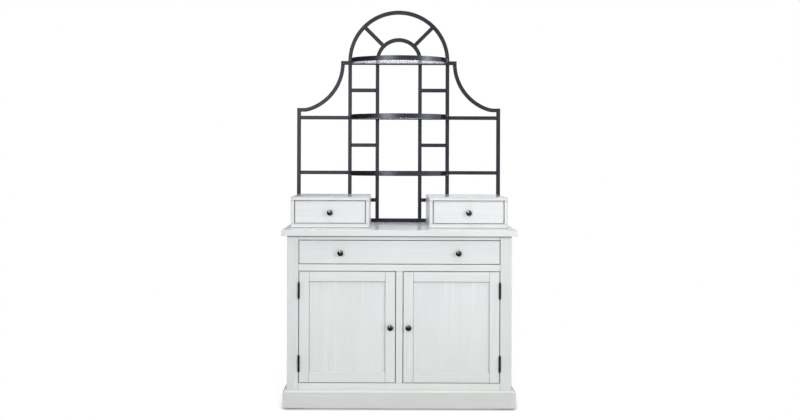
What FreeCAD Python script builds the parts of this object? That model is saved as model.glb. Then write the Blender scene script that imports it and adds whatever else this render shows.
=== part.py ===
import FreeCAD
import Part
import math
import os

# Bakers rack: a painted wooden base cabinet with two doors and a wide drawer, two small drawer
# cases on its worktop, and a welded square-tube hutch with arches, swept wings and glass shelves.
# Millimetres. +Z is up, the front faces -Y, X = 0 is the middle and Z = 0 is the floor.
# Y = 0 is the middle of the worktop's depth.

# Worktop
top_width = 1168
top_depth = 457
top_thick = 30
top_ease = 4
front_overhang = 26
back_overhang = 10

# Base cabinet
body_width = 1116
glide_height = 8
glide_width = 30
post_width = 57
post_depth = 45
frame_thick = 20
bottom_rail_top = 125.5
bottom_rail_height = 60
door_opening_height = 557
mid_rail_height = 33
drawer_opening_height = 121
top_rail_height = 21.5
inner_rail_height = 60
centre_stile_width = 34
plinth_height = 86
plinth_thick = 18
plinth_chamfer = 9
board_ease = 1
side_panel_thick = 8
back_panel_thick = 6
groove_depth = 8
groove_play = 0.5
floor_thick = 16
shelf_thick = 18
shelf_height = 395
shelf_play = 1.5
cleat_height = 20
cleat_width = 15

# Doors
door_gap = 3
door_stile_width = 50
door_rail_height = 50
door_panel_thick = 6
door_panel_recess = 7

# Butt hinges
hinge_height = 84
hinge_inset = 94
leaf_thick = 1.2
leaf_reach = 17
barrel_radius = 4.5
barrel_face_gap = 0.3
knuckle_count = 3
knuckle_gap = 0.3
pin_radius = 2
pin_play = 0.05

# Magnetic catch
catch_height = 25
catch_depth = 16
catch_drop = 28
catch_reach = 24
catch_air = 0.3
strike_thick = 1.2

# Knobs
knob_radius = 15
knob_bevel = 3
knob_head_thick = 13
knob_base_radius = 8.5
knob_base_thick = 3
knob_neck_radius = 5.5
knob_projection = 25
wide_knob_offset = 292.5
drawer_knob_drop = 3.2
door_knob_height = 404

# Wide drawer and its runners
tray_side_thick = 12
tray_side_height = 90
tray_bottom_thick = 6
tray_back_gap = 41
tray_lift = 9.5
runner_height = 36
runner_wall = 1.5
runner_space = 12.7
runner_play = 0.3
runner_end_gap = 2

# Small drawer cases
case_width = 400
case_depth = 315
case_height = 158
case_board = 18
case_bottom_thick = 22
case_back_thick = 6
case_end_inset = 30.5
small_gap = 2.5
small_tray_side_thick = 10
small_tray_side_height = 95
small_tray_side_play = 1.5
small_tray_lift = 0.3
small_tray_back_gap = 4.5

# Hutch frame
tube = 20
tube_wall = 1.5
hutch_back_inset = 12
hutch_end_inset = 24
inner_upright_x = 119.5
shelf_spacing = 308
low_shelf_top = 287.6
rung_rise = 144
wing_width = 286.5
wing_rise = 43.4
wing_end_radius = 120
wing_start_gap = 30.7
wing_level_length = 24.4
spoke_angle = 45
half_turn = 180
quarter_turn = 90

# Glass shelves and the bands round them
band_height = 25
band_thick = 5
band_front_depth = 191
band_bow_radius = 500
band_corner_radius = 85
glass_thick = 6
glass_drop = 9.6
glass_play = 1
tab_thick = 3
tab_size = 16

# Screws that hold the hutch to the worktop
screw_radius = 2.2
screw_play = 0.1
screw_head_radius = 4.5
screw_head_height = 3
screw_depth = 22

# Places worked out from the sizes above
front_y = -top_depth / 2
back_y = top_depth / 2
face_y = front_y + front_overhang
face_back_y = face_y + frame_thick
body_back_y = back_y - back_overhang
body_x = body_width / 2
post_x = body_x - post_width
front_post_back_y = face_y + post_depth
back_post_front_y = body_back_y - post_depth
door_top = bottom_rail_top + door_opening_height
drawer_floor = door_top + mid_rail_height
drawer_ceiling = drawer_floor + drawer_opening_height
body_top = drawer_ceiling + top_rail_height
top_z = body_top + top_thick
stile_x = centre_stile_width / 2
inner_rail_bottom = body_top - inner_rail_height
bottom_rail_bottom = bottom_rail_top - bottom_rail_height
panel_groove_x = body_x - frame_thick / 2 - side_panel_thick / 2
back_rail_front_y = body_back_y - frame_thick
back_groove_y = body_back_y - frame_thick / 2 - back_panel_thick / 2
tray_length = back_rail_front_y - face_back_y - tray_back_gap
hinge_x = post_x - door_gap / 2
hinge_y = face_y - barrel_radius - barrel_face_gap
outer_upright_x = top_width / 2 - hutch_end_inset
mid_upright_x = outer_upright_x - wing_width
hutch_back_y = back_y - hutch_back_inset
hutch_y = hutch_back_y - tube
arch_z = top_z + low_shelf_top + 2 * shelf_spacing
shelf_tops = [arch_z, arch_z - shelf_spacing, arch_z - 2 * shelf_spacing]
wing_low_z = shelf_tops[1] + wing_rise
case_outer_x = top_width / 2 - case_end_inset
case_inner_x = case_outer_x - case_width
case_back_y = hutch_y
case_front_y = case_back_y - case_depth


def span_box(x0, x1, y0, y1, z0, z1):
    """A box between two corners."""
    return Part.makeBox(x1 - x0, y1 - y0, z1 - z0, FreeCAD.Vector(x0, y0, z0))


def mirrored(shape):
    """The same piece on the other side of X = 0."""
    return shape.mirror(FreeCAD.Vector(0, 0, 0), FreeCAD.Vector(1, 0, 0))


def both_sides(shape):
    """A piece and its mirror twin."""
    return [mirrored(shape), shape]


def edges_on(shape, axis, level):
    """The straight edges that lie whole in the plane axis = level."""
    found = []
    for edge in shape.Edges:
        if all(abs(vertex.Point[axis] - level) < 1e-6 for vertex in edge.Vertexes):
            found.append(edge)
    return found


def faced_board(x0, x1, z0, z1, y0=None, thick=None):
    """A board seen from the front, whose front edges are eased, so that joints read as V-grooves."""
    y0 = face_y if y0 is None else y0
    thick = frame_thick if thick is None else thick
    board = span_box(x0, x1, y0, y0 + thick, z0, z1)
    return board.makeChamfer(board_ease, edges_on(board, 1, y0))


def round_bar(radius, x, y, z0, z1):
    """An upright cylinder."""
    return Part.makeCylinder(radius, z1 - z0, FreeCAD.Vector(x, y, z0))


# Base cabinet


def base_top():
    slab = span_box(-top_width / 2, top_width / 2, front_y, back_y, body_top, top_z)
    slab = slab.makeFillet(top_ease, edges_on(slab, 2, top_z) + edges_on(slab, 2, body_top))
    for x in screw_places():
        slab = slab.cut(round_bar(screw_radius + screw_play, x, hutch_y + tube / 2, top_z - screw_depth, top_z))
    return [slab]


def post_blank(y0, y1):
    """A right-hand corner post without grooves."""
    return span_box(post_x, body_x, y0, y1, glide_height, body_top)


def front_posts():
    post = post_blank(face_y, front_post_back_y)
    eased = [edge for edge in edges_on(post, 1, face_y) if abs(edge.Length - (body_top - glide_height)) < 1e-6]
    post = post.makeChamfer(board_ease, eased)
    return both_sides(post.cut(side_panel_blank()))


def back_posts():
    post = post_blank(back_post_front_y, body_back_y)
    return both_sides(post.cut(side_panel_blank()).cut(back_panel_blank()))


def side_rails():
    rails = []
    for z0, z1 in [(bottom_rail_bottom, bottom_rail_top), (inner_rail_bottom, body_top)]:
        rail = span_box(body_x - frame_thick, body_x, front_post_back_y, back_post_front_y, z0, z1)
        rails += both_sides(rail.cut(side_panel_blank()))
    return rails


def side_panel_blank(play=0):
    """The room that the right-hand side panel fills in its grooves, less the play at its edges."""
    reach = groove_depth - play
    return span_box(panel_groove_x, panel_groove_x + side_panel_thick,
                    front_post_back_y - reach, back_post_front_y + reach,
                    bottom_rail_top - reach, inner_rail_bottom + reach)


def side_panels():
    return both_sides(side_panel_blank(groove_play))


def face_rails():
    return [faced_board(-post_x, post_x, drawer_ceiling, body_top),
            faced_board(-post_x, post_x, door_top, drawer_floor),
            faced_board(-post_x, post_x, bottom_rail_bottom, bottom_rail_top)]


def centre_stile():
    return [faced_board(-stile_x, stile_x, bottom_rail_top, door_top)]


def back_panel_blank(play=0):
    """The room that the back panel fills in its grooves, less the play at its edges."""
    reach = groove_depth - play
    return span_box(-post_x - reach, post_x + reach, back_groove_y, back_groove_y + back_panel_thick,
                    bottom_rail_top - reach, inner_rail_bottom + reach)


def back_rails():
    rails = []
    for z0, z1 in [(bottom_rail_bottom, bottom_rail_top), (inner_rail_bottom, body_top)]:
        rail = span_box(-post_x, post_x, back_rail_front_y, body_back_y, z0, z1)
        rails.append(rail.cut(back_panel_blank()))
    return rails


def back_panel():
    return [back_panel_blank(groove_play)]


def cupboard_floor():
    board = span_box(-body_x + frame_thick, body_x - frame_thick, face_back_y, back_rail_front_y,
                     bottom_rail_top - floor_thick, bottom_rail_top)
    for post in both_sides(post_blank(face_y, front_post_back_y)) + both_sides(
            post_blank(back_post_front_y, body_back_y)):
        board = board.cut(post)
    return [board]


def cupboard_shelf():
    return [span_box(-post_x + shelf_play, post_x - shelf_play, face_back_y + 2 * shelf_play,
                     back_rail_front_y - shelf_play, shelf_height, shelf_height + shelf_thick)]


def shelf_cleats():
    cleat = span_box(post_x - cleat_width, post_x, face_back_y + 2 * shelf_play, back_rail_front_y - shelf_play,
                     shelf_height - cleat_height, shelf_height)
    return both_sides(cleat)


def plinth_boards():
    plinth_top = glide_height + plinth_height
    front = span_box(-body_x - plinth_thick, body_x + plinth_thick, face_y - plinth_thick, face_y,
                     glide_height, plinth_top)
    upper = [edge for edge in edges_on(front, 2, plinth_top)
             if any(abs(vertex.Point[1] - face_y) > 1e-6 for vertex in edge.Vertexes)]
    front = front.makeChamfer(plinth_chamfer, upper)
    side = span_box(body_x, body_x + plinth_thick, face_y, body_back_y, glide_height, plinth_top)
    outer = [edge for edge in edges_on(side, 2, plinth_top)
             if all(abs(vertex.Point[0] - body_x - plinth_thick) < 1e-6 for vertex in edge.Vertexes)]
    side = side.makeChamfer(plinth_chamfer, outer)
    return [front] + both_sides(side)


def floor_glides():
    """A square pad under the middle of each post."""
    x = body_x - post_width / 2
    half = glide_width / 2
    glides = []
    for y in [face_y + post_depth / 2, body_back_y - post_depth / 2]:
        glides += both_sides(span_box(x - half, x + half, y - half, y + half, 0, glide_height))
    return glides


# Knobs


def knob(x, y, z):
    """A turned knob that stands out of a face at y towards -Y: a foot, a neck and a bevelled head."""
    head_start = knob_projection - knob_head_thick
    profile = [
        (0, 0),
        (knob_base_radius, 0),
        (knob_base_radius, knob_base_thick),
        (knob_neck_radius, knob_base_thick),
        (knob_neck_radius, head_start),
        (knob_radius, head_start),
        (knob_radius, knob_projection - knob_bevel),
        (knob_radius - knob_bevel, knob_projection),
        (0, knob_projection),
    ]
    corners = [FreeCAD.Vector(x + radius, y - out, z) for radius, out in profile]
    face = Part.Face(Part.makePolygon(corners + corners[:1]))
    return face.revolve(FreeCAD.Vector(x, y, z), FreeCAD.Vector(0, 1, 0), 360)


# Hinges


def hinge_heights():
    """The bottom of each hinge's barrel."""
    bottom_edge = bottom_rail_top + hinge_inset - hinge_height / 2 + door_gap
    top_edge = door_top - hinge_inset - hinge_height / 2 - door_gap
    return [bottom_edge, top_edge]


def knuckle_spans(z, fixed):
    """The heights of one leaf's knuckles: the fixed leaf has the first, the third and so on."""
    length = (hinge_height - (knuckle_count - 1) * knuckle_gap) / knuckle_count
    spans = []
    for index in range(knuckle_count):
        if (index % 2 == 0) == fixed:
            start = z + index * (length + knuckle_gap)
            spans.append((start, start + length))
    return spans


def hinge_leaf(z, fixed):
    """One leaf of a right-hand hinge: a plate in the door gap and the knuckles that hold it."""
    if fixed:
        x0 = post_x - leaf_thick
    else:
        x0 = post_x - door_gap
    plate_y = face_y + barrel_face_gap
    leaf = span_box(x0, x0 + leaf_thick, plate_y, face_y + leaf_reach, z, z + hinge_height)
    for z0, z1 in knuckle_spans(z, fixed):
        neck = span_box(x0, x0 + leaf_thick, hinge_y + pin_radius, plate_y, z0, z1)
        leaf = leaf.fuse(neck).fuse(round_bar(barrel_radius, hinge_x, hinge_y, z0, z1))
    bore = round_bar(pin_radius + pin_play, hinge_x, hinge_y, z, z + hinge_height)
    return leaf.cut(bore).removeSplitter()


def hinge_leaves_fixed():
    leaves = []
    for z in hinge_heights():
        leaves += both_sides(hinge_leaf(z, True))
    return leaves


def hinge_pins():
    pins = []
    for z in hinge_heights():
        pins += both_sides(round_bar(pin_radius, hinge_x, hinge_y, z, z + hinge_height))
    return pins


# Doors


def door_stiles():
    """The two stiles of the right-hand door, grooved for its panel."""
    inner, outer, low, high = door_outline()
    stiles = [faced_board(inner, inner + door_stile_width, low, high),
              faced_board(outer - door_stile_width, outer, low, high)]
    return [stile.cut(door_panel_blank()) for stile in stiles]


def door_outline():
    """The right-hand door's edges: towards the middle, towards the hinge, bottom and top."""
    return (stile_x + door_gap, post_x - door_gap, bottom_rail_top + door_gap, door_top - door_gap)


def door_rails():
    """The two rails of the right-hand door, grooved for its panel."""
    inner, outer, low, high = door_outline()
    x0 = inner + door_stile_width
    x1 = outer - door_stile_width
    rails = [faced_board(x0, x1, low, low + door_rail_height), faced_board(x0, x1, high - door_rail_height, high)]
    return [rail.cut(door_panel_blank()) for rail in rails]


def door_panel_blank(play=0):
    """The room that the right-hand door's panel fills in its grooves, less the play at its edges."""
    inner, outer, low, high = door_outline()
    reach = groove_depth - play
    y0 = face_y + door_panel_recess
    return span_box(inner + door_stile_width - reach, outer - door_stile_width + reach, y0, y0 + door_panel_thick,
                    low + door_rail_height - reach, high - door_rail_height + reach)


def door_knob():
    return [knob(door_outline()[0] + door_stile_width / 2, face_y, door_knob_height)]


def door_hinge_leaves():
    return [hinge_leaf(z, False) for z in hinge_heights()]


def catch_levels():
    """The catch's lowest and highest points."""
    return (door_top - catch_drop - catch_height, door_top - catch_drop)


def strike_span():
    """The strike plate's inner and outer X on the right-hand door."""
    start = door_outline()[0] + door_gap
    return (start, start + catch_reach)


def door_strike():
    x0, x1 = strike_span()
    low, high = catch_levels()
    return [span_box(x0, x1, face_back_y, face_back_y + strike_thick, low, high)]


def magnetic_catch():
    x1 = strike_span()[1]
    low, high = catch_levels()
    front = face_back_y + strike_thick + catch_air
    block = span_box(-x1, x1, front, front + catch_depth, low, high)
    lug = span_box(-stile_x, stile_x, face_back_y, front, low, high)
    return [block.fuse(lug).removeSplitter()]


# Wide drawer


def wide_drawer_front():
    return [faced_board(-post_x + door_gap, post_x - door_gap, drawer_floor + door_gap, drawer_ceiling - door_gap)]


def drawer_tray(x0, x1, y0, y1, z0, side_height, side_thick, bottom_thick):
    """Two sides, a back and a bottom that sits in grooves in the sides."""
    groove = side_thick / 2
    bottom = span_box(x0 + groove, x1 - groove, y0, y1, z0 + bottom_thick, z0 + 2 * bottom_thick)
    left = span_box(x0, x0 + side_thick, y0, y1, z0, z0 + side_height).cut(bottom)
    right = span_box(x1 - side_thick, x1, y0, y1, z0, z0 + side_height).cut(bottom)
    back = span_box(x0 + side_thick, x1 - side_thick, y1 - side_thick, y1, z0 + 2 * bottom_thick, z0 + side_height)
    return [left, right, back, bottom]


def wide_drawer_tray():
    half = post_x - runner_space
    return drawer_tray(-half, half, face_back_y, face_back_y + tray_length, drawer_floor + tray_lift,
                       tray_side_height, tray_side_thick, tray_bottom_thick)


def wide_drawer_knobs():
    middle = (drawer_floor + drawer_ceiling) / 2
    return both_sides(knob(wide_knob_offset, face_y, middle - drawer_knob_drop))


def channel(web_x, lip_x, y0, y1, middle, height):
    """A thin channel along Y, with its web at web_x and its two flanges reaching to lip_x."""
    low = min(web_x, lip_x)
    high = max(web_x, lip_x)
    outer = span_box(low, high, y0, y1, middle - height / 2, middle + height / 2)
    inner_z = height / 2 - runner_wall
    shift = runner_wall if web_x < lip_x else -runner_wall
    room = span_box(low + shift, high + shift, y0, y1, middle - inner_z, middle + inner_z)
    return outer.cut(room)


def runner_middle():
    return drawer_floor + tray_lift + tray_side_height / 2


def drawer_runners_fixed():
    """Channels screwed to the front and back posts, open towards the drawer."""
    lip = post_x - runner_space + runner_wall + runner_play
    return both_sides(channel(post_x, lip, face_back_y + runner_end_gap, back_rail_front_y - runner_end_gap,
                              runner_middle(), runner_height))


def wide_drawer_runners():
    """Channels on the tray's sides that slide inside the fixed ones."""
    lip = post_x - runner_wall - 6 * runner_play
    height = runner_height - 2 * runner_wall - 2 * runner_play
    return both_sides(channel(post_x - runner_space, lip, face_back_y, face_back_y + tray_length,
                              runner_middle(), height))


# Small drawer cases, described for the right-hand side


def small_case():
    floor = top_z + case_bottom_thick
    ceiling = top_z + case_height - case_board
    x0 = case_inner_x
    x1 = case_outer_x
    y0 = case_front_y
    y1 = case_back_y
    return [faced_board(x0, x1, top_z, floor, y0, case_depth),
            faced_board(x0, x1, ceiling, top_z + case_height, y0, case_depth),
            faced_board(x0, x0 + case_board, floor, ceiling, y0, case_depth),
            faced_board(x1 - case_board, x1, floor, ceiling, y0, case_depth),
            span_box(x0 + case_board, x1 - case_board, y1 - case_back_thick, y1, floor, ceiling)]


def small_drawer_front():
    return [faced_board(case_inner_x + case_board + small_gap, case_outer_x - case_board - small_gap,
                        top_z + case_bottom_thick + small_gap, top_z + case_height - case_board - small_gap,
                        case_front_y)]


def small_drawer_tray():
    return drawer_tray(case_inner_x + case_board + small_tray_side_play,
                       case_outer_x - case_board - small_tray_side_play,
                       case_front_y + frame_thick, case_back_y - case_back_thick - small_tray_back_gap,
                       top_z + case_bottom_thick + small_tray_lift,
                       small_tray_side_height, small_tray_side_thick, tray_bottom_thick)


def small_drawer_knob():
    middle = top_z + (case_bottom_thick + case_height - case_board) / 2
    return [knob((case_inner_x + case_outer_x) / 2, case_front_y, middle - drawer_knob_drop)]


# Hutch


def tube_box(x0, x1, z0, z1, along):
    """A square tube in the hutch's plane, open at both ends, along 'x' or 'z'."""
    outer = span_box(x0, x1, hutch_y, hutch_back_y, z0, z1)
    if along == "x":
        core = span_box(x0, x1, hutch_y + tube_wall, hutch_back_y - tube_wall, z0 + tube_wall, z1 - tube_wall)
    else:
        core = span_box(x0 + tube_wall, x1 - tube_wall, hutch_y + tube_wall, hutch_back_y - tube_wall, z0, z1)
    return outer.cut(core)


def upright(x, z1):
    return tube_box(x - tube / 2, x + tube / 2, top_z, z1, "z")


def rail_between(x0, x1, z_top):
    """A rail from face to face of the two uprights whose centres are x0 and x1."""
    return tube_box(x0 + tube / 2, x1 - tube / 2, z_top - tube, z_top, "x")


def rail_row(z_top, places):
    """One rail, cut into lengths that fit between the uprights."""
    return [rail_between(x0, x1, z_top) for x0, x1 in zip(places[:-1], places[1:])]


def all_columns():
    right = [inner_upright_x, mid_upright_x, outer_upright_x]
    return [-x for x in reversed(right)] + right


def bent_tube(radius, centre_x, centre_z, start, sweep):
    """A square tube bent in the hutch's plane: its middle line runs from angle start through sweep degrees."""
    def square(size):
        half = size / 2
        y = hutch_y + tube / 2
        corners = [(radius - half, y - half), (radius + half, y - half), (radius + half, y + half),
                   (radius - half, y + half)]
        points = [FreeCAD.Vector(x, yy, 0) for x, yy in corners]
        return Part.Face(Part.makePolygon(points + points[:1]))

    axis = FreeCAD.Vector(0, -1, 0)
    origin = FreeCAD.Vector(0, 0, 0)
    swept = square(tube).cut(square(tube - 2 * tube_wall)).Faces[0].revolve(origin, axis, sweep)
    swept.rotate(origin, axis, start)
    swept.translate(FreeCAD.Vector(centre_x, 0, centre_z))
    return swept


def mitre_wedge(lower):
    """The half of the outer corner's square that the mitre takes off the upright, or off the wing."""
    x0 = outer_upright_x - tube / 2
    x1 = outer_upright_x + tube / 2
    z1 = wing_low_z
    z0 = z1 - tube
    third = (x1, z0) if lower else (x0, z1)
    points = [FreeCAD.Vector(x, hutch_y, z) for x, z in [(x0, z0), (x1, z1), third, (x0, z0)]]
    return Part.Face(Part.makePolygon(points)).extrude(FreeCAD.Vector(0, tube, 0))


def hutch_outer_uprights():
    return both_sides(upright(outer_upright_x, wing_low_z).cut(mitre_wedge(False)))


def hutch_mid_uprights():
    return both_sides(upright(mid_upright_x, arch_z))


def hutch_inner_uprights():
    return both_sides(upright(inner_upright_x, arch_z))


def hutch_outer_arch():
    return [bent_tube(mid_upright_x, 0, arch_z, 0, half_turn)]


def hutch_inner_arch():
    return [bent_tube(inner_upright_x, 0, arch_z, 0, half_turn)]


def hutch_spokes():
    """Straight tubes between the arches, coped to both."""
    spoke = tube_box(inner_upright_x, mid_upright_x, -tube / 2, tube / 2, "x")
    spoke.rotate(FreeCAD.Vector(0, 0, 0), FreeCAD.Vector(0, -1, 0), spoke_angle)
    spoke.translate(FreeCAD.Vector(0, 0, arch_z))
    centre = FreeCAD.Vector(0, hutch_y, arch_z)
    backwards = FreeCAD.Vector(0, 1, 0)
    reach = Part.makeCylinder(mid_upright_x - tube / 2, tube, centre, backwards)
    hole = Part.makeCylinder(inner_upright_x + tube / 2, tube, centre, backwards)
    return both_sides(spoke.common(reach.cut(hole)))


def wing_start_x():
    """The middle of the wing's tube where it hangs from the end of the top rail."""
    return mid_upright_x + tube / 2 + wing_start_gap


def hutch_top_rail():
    """The rail under the arches; its ends reach past the arch and carry the wings."""
    right = [inner_upright_x, mid_upright_x, wing_start_x() + tube]
    return rail_row(arch_z, [-x for x in reversed(right)] + right)


def hutch_shelf_rails():
    return rail_row(shelf_tops[1], all_columns()) + rail_row(shelf_tops[2], all_columns())


def hutch_bottom_rail():
    rails = rail_row(top_z + tube, all_columns())
    holes = [round_bar(screw_radius + screw_play, x, hutch_y + tube / 2, top_z, top_z + tube)
             for x in screw_places()]
    return [rail.cut(holes) for rail in rails]


def wing_radius(across, drop):
    """The long bend's radius that lets both bends of a wing meet, from the span and drop of their middle lines."""
    return (across ** 2 + drop ** 2 - wing_end_radius ** 2) / (2 * (across - wing_end_radius))


def hutch_wing_curves():
    """A long bend that hangs from the top rail, and a short one that turns it level at the outer upright."""
    rail_middle = arch_z - tube / 2
    low_middle = wing_low_z - tube / 2
    small_x = outer_upright_x - wing_level_length
    small_z = low_middle + wing_end_radius
    drop = rail_middle - small_z
    radius = wing_radius(small_x - wing_start_x(), drop)
    big_x = wing_start_x() + radius
    turn = math.degrees(math.asin(drop / (radius - wing_end_radius)))
    big = bent_tube(radius, big_x, rail_middle, half_turn, turn)
    small = bent_tube(wing_end_radius, small_x, small_z, half_turn + turn, quarter_turn - turn)
    level = tube_box(small_x, outer_upright_x + tube / 2, low_middle - tube / 2, low_middle + tube / 2, "x")
    above = span_box(mid_upright_x, big_x, hutch_y, hutch_back_y, arch_z - tube, arch_z)
    wing = big.fuse(small).fuse(level).cut(above).cut(mitre_wedge(True))
    return both_sides(wing)


def hutch_rungs():
    rungs = []
    for index in range(3):
        z_top = shelf_tops[index] - rung_rise - tube / 2
        rungs += both_sides(rail_between(inner_upright_x, mid_upright_x, z_top))
    return rungs


def screw_places():
    """The X of each hutch screw, behind the small cases."""
    right = (mid_upright_x + outer_upright_x) / 2
    return [-right, right]


def hutch_screws():
    screws = []
    for x in screw_places():
        y = hutch_y + tube / 2
        shank = round_bar(screw_radius, x, y, top_z - screw_depth, top_z + tube)
        head = round_bar(screw_head_radius, x, y, top_z + tube, top_z + tube + screw_head_height)
        screws.append(shank.fuse(head))
    return screws


# Glass shelves


def bow_outline(inset):
    """The shelf's plan outline, inset from the band's outer face, as a face at Z = 0."""
    half = mid_upright_x - tube / 2 + band_thick - inset
    corner = band_corner_radius - inset
    bow = band_bow_radius - inset
    bow_y = hutch_y - band_front_depth + band_bow_radius
    corner_x = half - corner
    corner_y = bow_y - math.sqrt((bow - corner) ** 2 - corner_x ** 2)
    lean = math.asin(corner_x / (bow - corner))
    meet_x = bow * math.sin(lean)
    meet_y = bow_y - bow * math.cos(lean)
    halfway = (math.pi / 2 + lean) / 2
    mid_x = corner_x + corner * math.sin(halfway)
    mid_y = corner_y - corner * math.cos(halfway)
    point = FreeCAD.Vector
    edges = [
        Part.makeLine(point(-half, hutch_y, 0), point(-half, corner_y, 0)),
        Part.Arc(point(-half, corner_y, 0), point(-mid_x, mid_y, 0), point(-meet_x, meet_y, 0)).toShape(),
        Part.Arc(point(-meet_x, meet_y, 0), point(0, bow_y - bow, 0), point(meet_x, meet_y, 0)).toShape(),
        Part.Arc(point(meet_x, meet_y, 0), point(mid_x, mid_y, 0), point(half, corner_y, 0)).toShape(),
        Part.makeLine(point(half, corner_y, 0), point(half, hutch_y, 0)),
        Part.makeLine(point(half, hutch_y, 0), point(-half, hutch_y, 0)),
    ]
    return Part.Face(Part.Wire(edges))


def bow_slab(inset, z0, z1):
    slab = bow_outline(inset).extrude(FreeCAD.Vector(0, 0, z1 - z0))
    slab.translate(FreeCAD.Vector(0, 0, z0))
    return slab


def shelf_hoop(z_top):
    """The flat band round a shelf, and the tabs that the glass lies on."""
    inner = bow_slab(band_thick, z_top - band_height, z_top)
    band = bow_slab(0, z_top - band_height, z_top).cut(inner)
    tab_top = z_top - glass_drop - glass_thick
    tab_bottom = tab_top - tab_thick
    tab_y = hutch_y - band_front_depth
    side_x = mid_upright_x - tube / 2
    back_x = (inner_upright_x + mid_upright_x) / 2
    blanks = [span_box(-tab_size / 2, tab_size / 2, tab_y, tab_y + band_thick + tab_size, tab_bottom, tab_top)]
    blanks += both_sides(span_box(side_x - tab_size, side_x, hutch_y - 3 * tab_size, hutch_y - 2 * tab_size,
                                  tab_bottom, tab_top))
    blanks += both_sides(span_box(back_x - tab_size / 2, back_x + tab_size / 2, hutch_y - tab_size, hutch_y,
                                  tab_bottom, tab_top))
    return [band] + [blank.common(inner) for blank in blanks]


def shelf_glass(z_top):
    high = z_top - glass_drop
    sheet = bow_slab(band_thick + glass_play, high - glass_thick, high)
    clear = span_box(-mid_upright_x, mid_upright_x, hutch_y - glass_play, hutch_y, high - glass_thick, high)
    return [sheet.cut(clear)]


def all_nodes():
    """Every node's name with the solids in it."""
    nodes = {
        "base_top": base_top(),
        "front_posts": front_posts(),
        "back_posts": back_posts(),
        "side_rails": side_rails(),
        "side_panels": side_panels(),
        "face_rails": face_rails(),
        "centre_stile": centre_stile(),
        "back_rails": back_rails(),
        "back_panel": back_panel(),
        "cupboard_floor": cupboard_floor(),
        "cupboard_shelf": cupboard_shelf(),
        "shelf_cleats": shelf_cleats(),
        "plinth_boards": plinth_boards(),
        "floor_glides": floor_glides(),
        "hinge_leaves_fixed": hinge_leaves_fixed(),
        "hinge_pins": hinge_pins(),
        "magnetic_catch": magnetic_catch(),
        "drawer_runners_fixed": drawer_runners_fixed(),
        "wide_drawer_front": wide_drawer_front(),
        "wide_drawer_tray": wide_drawer_tray(),
        "wide_drawer_knobs": wide_drawer_knobs(),
        "wide_drawer_runners": wide_drawer_runners(),
        "hutch_outer_uprights": hutch_outer_uprights(),
        "hutch_mid_uprights": hutch_mid_uprights(),
        "hutch_inner_uprights": hutch_inner_uprights(),
        "hutch_outer_arch": hutch_outer_arch(),
        "hutch_inner_arch": hutch_inner_arch(),
        "hutch_spokes": hutch_spokes(),
        "hutch_top_rail": hutch_top_rail(),
        "hutch_shelf_rails": hutch_shelf_rails(),
        "hutch_bottom_rail": hutch_bottom_rail(),
        "hutch_wing_curves": hutch_wing_curves(),
        "hutch_rungs": hutch_rungs(),
        "hutch_screws": hutch_screws(),
    }
    for level, z_top in zip(["top", "middle", "bottom"], shelf_tops):
        nodes["shelf_hoop_" + level] = shelf_hoop(z_top)
        nodes["shelf_glass_" + level] = shelf_glass(z_top)
    handed = {
        "door_SIDE_stiles": door_stiles(),
        "door_SIDE_rails": door_rails(),
        "door_SIDE_panel": [door_panel_blank(groove_play)],
        "door_SIDE_knob": door_knob(),
        "door_SIDE_hinge_leaves": door_hinge_leaves(),
        "door_SIDE_strike_plate": door_strike(),
        "small_case_SIDE": small_case(),
        "small_drawer_SIDE_front": small_drawer_front(),
        "small_drawer_SIDE_tray": small_drawer_tray(),
        "small_drawer_SIDE_knob": small_drawer_knob(),
    }
    for name, solids in handed.items():
        nodes[name.replace("SIDE", "right")] = solids
        nodes[name.replace("SIDE", "left")] = [mirrored(solid) for solid in solids]
    return nodes


def export_nodes():
    os.makedirs("parts", exist_ok=True)
    for name, shapes in all_nodes().items():
        solids = [solid for shape in shapes for solid in shape.Solids]
        whole = solids[0] if len(solids) == 1 else Part.makeCompound(solids)
        whole.exportStep("parts/" + name + ".step")


export_nodes()
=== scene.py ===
import math

import bmesh
import bpy
from mathutils import Matrix, Vector


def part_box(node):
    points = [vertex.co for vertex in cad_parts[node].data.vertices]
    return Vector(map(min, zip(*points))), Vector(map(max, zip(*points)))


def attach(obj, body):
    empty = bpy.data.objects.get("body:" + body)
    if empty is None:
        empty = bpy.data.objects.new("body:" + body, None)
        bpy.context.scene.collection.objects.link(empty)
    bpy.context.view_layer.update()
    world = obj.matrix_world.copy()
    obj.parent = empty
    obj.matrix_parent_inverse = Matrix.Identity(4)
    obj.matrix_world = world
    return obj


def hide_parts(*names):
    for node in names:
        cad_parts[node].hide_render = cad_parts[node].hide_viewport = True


# Bakers rack: the finishes of its painted cabinet, the rounded steel tubes, bands, knobs and hinges,
# and the studio round it. Metres. +Z is up and the front faces -Y.

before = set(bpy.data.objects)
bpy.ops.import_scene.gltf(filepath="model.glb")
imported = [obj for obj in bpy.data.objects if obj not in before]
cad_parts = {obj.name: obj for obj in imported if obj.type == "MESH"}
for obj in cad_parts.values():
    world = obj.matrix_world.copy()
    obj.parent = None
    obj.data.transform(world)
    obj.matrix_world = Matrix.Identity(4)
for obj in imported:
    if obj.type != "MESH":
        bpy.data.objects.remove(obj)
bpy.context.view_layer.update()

# Rounding of edges. Boards are eased along edges that are sharper and longer than these.
BOARD_EASING = 0.0008
DOOR_EASING = 0.0011
CASE_EASING = 0.0016
EASED_ANGLE = math.radians(30)
EASED_LENGTH = 0.008
SLAB_ROUNDING = 0.004
SLAB_UNDER_ROUNDING = 0.0015
TUBE_ROUNDING = 0.0025
BAND_ROUNDING = 0.0008
GLASS_ROUNDING = 0.0008
PLATE_ROUNDING = 0.0003
ROUNDING_STEPS = 3
EASING_STEPS = 2
SHARP_ANGLE = math.radians(50)

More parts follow.
